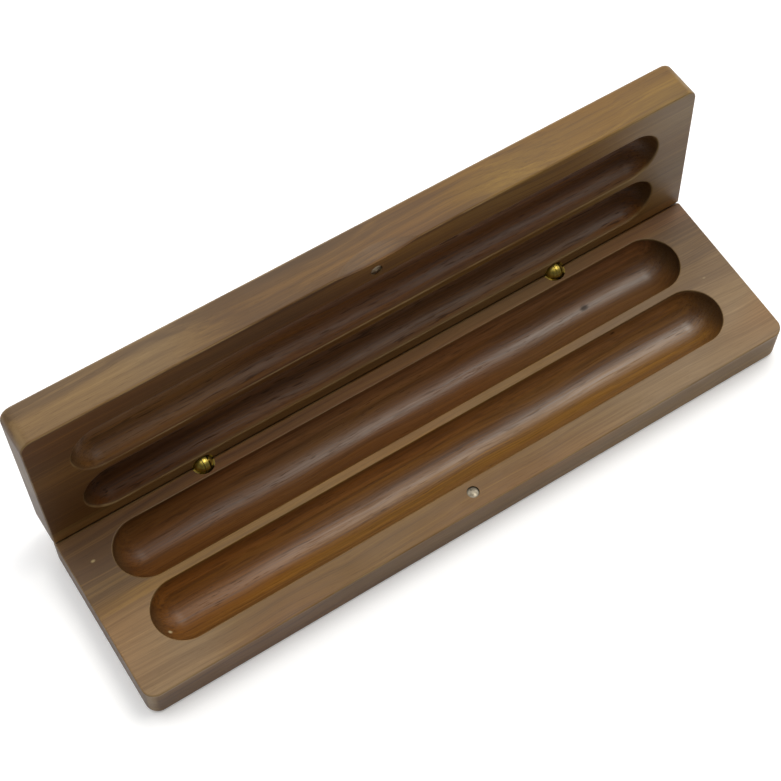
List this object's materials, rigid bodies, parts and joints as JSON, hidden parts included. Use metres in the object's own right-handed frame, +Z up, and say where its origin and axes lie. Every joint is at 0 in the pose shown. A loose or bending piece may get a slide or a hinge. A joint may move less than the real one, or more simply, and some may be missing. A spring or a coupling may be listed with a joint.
{
  "type": "fountain pen case",
  "caption": "Hinged walnut pen case, stored open, with paired round-bottomed pen grooves in both halves, small brass barrel hinges, disc magnets and a thumb notch.",
  "frame": {"origin": "centre of the underside of the base block", "axes": "+Z up, +X along the case, from the left hinge to the right one, +Y towards the hinges and the open lid"},
  "size_m": [0.18, 0.0588, 0.0557],
  "materials": {
    "walnut_base": "satin lacquer over walnut, grain along the case",
    "walnut_lid": "satin lacquer over walnut, grain along the case",
    "magnet_nickel": "dull nickel plate",
    "brass": "bright turned brass, slightly tarnished",
    "brass_pin": "drawn brass wire"
  },
  "bodies": {
    "base": {"base_block": "walnut_base", "base_magnet": "magnet_nickel", "left_base_barrel": "brass", "left_base_leaf_1": "brass", "left_base_leaf_2": "brass", "left_base_leaf_3": "brass", "left_base_retaining_pin": "brass_pin", "left_pivot_pin": "brass_pin", "right_base_barrel": "brass", "right_base_leaf_1": "brass", "right_base_leaf_2": "brass", "right_base_leaf_3": "brass", "right_base_retaining_pin": "brass_pin", "right_pivot_pin": "brass_pin"},
    "lid": {"lid_block": "walnut_lid", "lid_magnet": "magnet_nickel", "left_lid_barrel": "brass", "left_lid_leaf_1": "brass", "left_lid_leaf_2": "brass", "left_lid_retaining_pin": "brass_pin", "right_lid_barrel": "brass", "right_lid_leaf_1": "brass", "right_lid_leaf_2": "brass", "right_lid_retaining_pin": "brass_pin"}
  },
  "joints": [
    {"name": "lid_hinge", "type": "hinge", "parent": "base", "child": "lid", "pos_m": [0, 0.0204, 0.0111], "axis": [1, 0, 0], "range_deg": [0, 94]}
  ]
}
